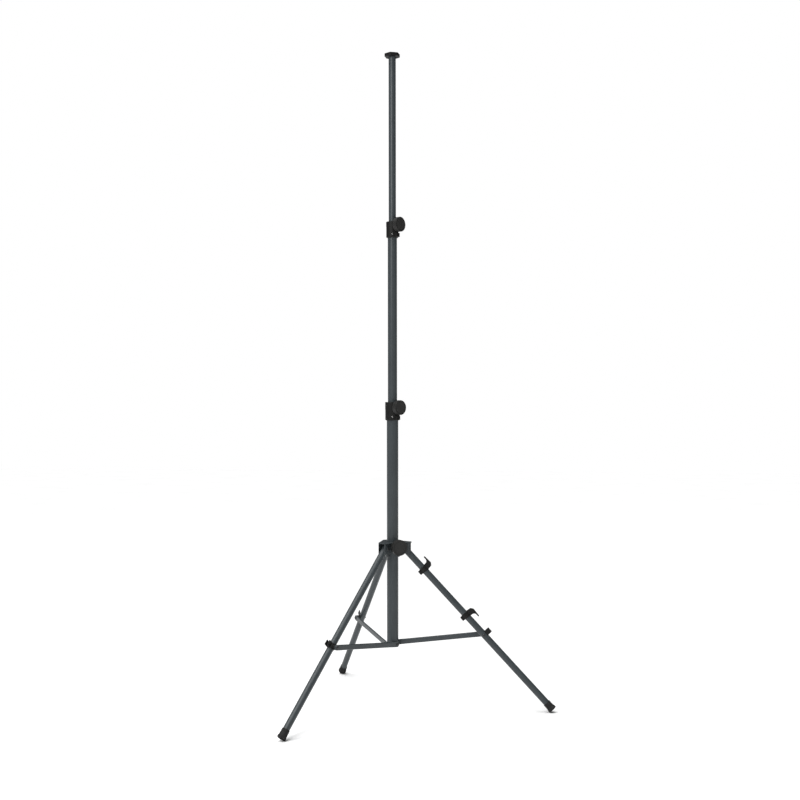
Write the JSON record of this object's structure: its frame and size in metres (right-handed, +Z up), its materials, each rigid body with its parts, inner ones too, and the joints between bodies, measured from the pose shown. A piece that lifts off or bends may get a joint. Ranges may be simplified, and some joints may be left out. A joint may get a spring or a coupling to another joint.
{
  "type": "telescopic tripod stand",
  "caption": "Free-standing telescopic tripod stand with a clamped round-tube mast, folding braced legs, cable hooks and a threaded head for a light, camera or loudspeaker.",
  "frame": {"origin": "middle of the stand's outline on the floor, so the mast stands 120 mm towards -X of it", "axes": "+Z up the mast; +X along the leg that carries the cable hooks; the other two legs at 120 and 240 degrees about the mast"},
  "size_m": [0.7506, 0.8626, 2],
  "materials": {
    "tube_paint": "satin powder coat, anthracite",
    "strut_paint": "satin powder coat, anthracite",
    "hub_paint": "satin powder coat, anthracite",
    "black_plastic": "moulded, lightly textured",
    "knob_plastic": "moulded, fine grain",
    "foot_rubber": "matt",
    "bush_plastic": "moulded, smooth",
    "black_steel": "black oxide",
    "bright_steel": "zinc plated",
    "brass": "turned",
    "aluminium": "turned"
  },
  "bodies": {
    "base": {"base_tube": "tube_paint", "base_plug": "black_plastic", "strut_pivot_bolts": "black_steel", "lower_collar": "black_plastic", "lower_collar_screws": "bright_steel", "lower_collar_insert": "brass", "lower_guide_bush": "bush_plastic"},
    "middle": {"middle_tube": "tube_paint", "middle_foot_bush": "bush_plastic", "upper_collar": "black_plastic", "upper_collar_screws": "bright_steel", "upper_collar_insert": "brass", "upper_guide_bush": "bush_plastic"},
    "top": {"top_tube": "tube_paint", "top_foot_bush": "bush_plastic", "head_plug": "aluminium", "head_insert": "brass", "head_cap": "black_plastic"},
    "hub": {"hub_body": "hub_paint", "hub_bush": "bush_plastic", "hub_insert": "brass", "leg_pivot_bolts": "hub_paint", "leg_pivot_nuts": "hub_paint"},
    "leg_right": {"leg_tube_right": "tube_paint", "leg_end_right": "black_plastic", "foot_right": "foot_rubber", "strut_clamp_right": "black_plastic", "clamp_nut_right": "black_steel", "cable_hook_upper": "black_plastic", "cable_hook_lower": "black_plastic"},
    "leg_back": {"leg_tube_back": "tube_paint", "leg_end_back": "black_plastic", "foot_back": "foot_rubber", "strut_clamp_back": "black_plastic", "clamp_nut_back": "black_steel"},
    "leg_front": {"leg_tube_front": "tube_paint", "leg_end_front": "black_plastic", "foot_front": "foot_rubber", "strut_clamp_front": "black_plastic", "clamp_nut_front": "black_steel"},
    "strut_arm_right": {"strut_right": "strut_paint", "strut_bolt_right": "black_steel"},
    "strut_arm_back": {"strut_back": "strut_paint", "strut_bolt_back": "black_steel"},
    "strut_arm_front": {"strut_front": "strut_paint", "strut_bolt_front": "black_steel"},
    "lower_clamp_pad": {"lower_shoe": "bush_plastic"},
    "lower_clamp_knob": {"lower_stud": "bright_steel", "lower_knob": "knob_plastic", "lower_knob_cap": "knob_plastic"},
    "upper_clamp_pad": {"upper_shoe": "bush_plastic"},
    "upper_clamp_knob": {"upper_stud": "bright_steel", "upper_knob": "knob_plastic", "upper_knob_cap": "knob_plastic"},
    "hub_clamp_pad": {"hub_shoe": "bush_plastic"},
    "hub_clamp_knob": {"hub_stud": "bright_steel", "hub_knob": "knob_plastic", "hub_knob_cap": "knob_plastic"}
  },
  "joints": [
    {"name": "hub_slide", "type": "slide", "parent": "base", "child": "hub", "axis": [0, 0, 1], "range_m": [0, 0.33821]},
    {"name": "middle_slide", "type": "slide", "parent": "base", "child": "middle", "axis": [0, 0, 1], "range_m": [-0.485, 0]},
    {"name": "top_slide", "type": "slide", "parent": "middle", "child": "top", "axis": [0, 0, 1], "range_m": [-0.48, 0]},
    {"name": "leg_right_fold", "type": "hinge", "parent": "hub", "child": "leg_right", "pos_m": [-0.08312, 0, 0.48584], "axis": [0, 1, 0], "range_deg": [0, 43.27]},
    {"name": "leg_back_fold", "type": "hinge", "parent": "hub", "child": "leg_back", "pos_m": [-0.13862, 0.03204, 0.48584], "axis": [-0.866, -0.5, 0], "range_deg": [0, 43.27]},
    {"name": "leg_front_fold", "type": "hinge", "parent": "hub", "child": "leg_front", "pos_m": [-0.13862, -0.03204, 0.48584], "axis": [0.866, -0.5, 0], "range_deg": [0, 43.27]},
    {"name": "strut_right_swing", "type": "hinge", "parent": "base", "child": "strut_arm_right", "pos_m": [-0.11512, 0.0207, 0.1935], "axis": [0, 1, 0], "range_deg": [-76.37, 0]},
    {"name": "strut_back_swing", "type": "hinge", "parent": "base", "child": "strut_arm_back", "pos_m": [-0.14054, -0.00602, 0.1935], "axis": [-0.866, -0.5, 0], "range_deg": [-76.37, 0]},
    {"name": "strut_front_swing", "type": "hinge", "parent": "base", "child": "strut_arm_front", "pos_m": [-0.10469, -0.01468, 0.1935], "axis": [0.866, -0.5, 0], "range_deg": [-76.37, 0]},
    {"name": "lower_pad_slide", "type": "slide", "parent": "base", "child": "lower_clamp_pad", "axis": [0.7771, -0.6293, 0], "range_m": [0, 0.0025]},
    {"name": "lower_knob_turn", "type": "hinge", "parent": "lower_clamp_pad", "child": "lower_clamp_knob", "pos_m": [-0.0968, -0.01888, 0.916], "axis": [0.7771, -0.6293, 0], "range_deg": [0, 720]},
    {"name": "upper_pad_slide", "type": "slide", "parent": "middle", "child": "upper_clamp_pad", "axis": [0.848, -0.5299, 0], "range_m": [0, 0.0025]},
    {"name": "upper_knob_turn", "type": "hinge", "parent": "upper_clamp_pad", "child": "upper_clamp_knob", "pos_m": [-0.09468, -0.0159, 1.475], "axis": [0.848, -0.5299, 0], "range_deg": [0, 720]},
    {"name": "hub_pad_slide", "type": "slide", "parent": "hub", "child": "hub_clamp_pad", "axis": [0.5299, -0.848, 0], "range_m": [0, 0.0025]},
    {"name": "hub_knob_turn", "type": "hinge", "parent": "hub_clamp_pad", "child": "hub_clamp_knob", "pos_m": [-0.10422, -0.02544, 0.49184], "axis": [0.5299, -0.848, 0], "range_deg": [0, 720]}
  ],
  "couplings": [
    {"joint": "leg_right_fold", "follows": "hub_slide", "rad_per_m": 2.2329},
    {"joint": "leg_back_fold", "follows": "hub_slide", "rad_per_m": 2.2329},
    {"joint": "leg_front_fold", "follows": "hub_slide", "rad_per_m": 2.2329},
    {"joint": "strut_right_swing", "follows": "hub_slide", "rad_per_m": -3.9408},
    {"joint": "strut_back_swing", "follows": "hub_slide", "rad_per_m": -3.9408},
    {"joint": "strut_front_swing", "follows": "hub_slide", "rad_per_m": -3.9408},
    {"joint": "lower_pad_slide", "follows": "lower_knob_turn", "m_per_rad": 0.00019894},
    {"joint": "upper_pad_slide", "follows": "upper_knob_turn", "m_per_rad": 0.00019894},
    {"joint": "hub_pad_slide", "follows": "hub_knob_turn", "m_per_rad": 0.00019894}
  ]
}
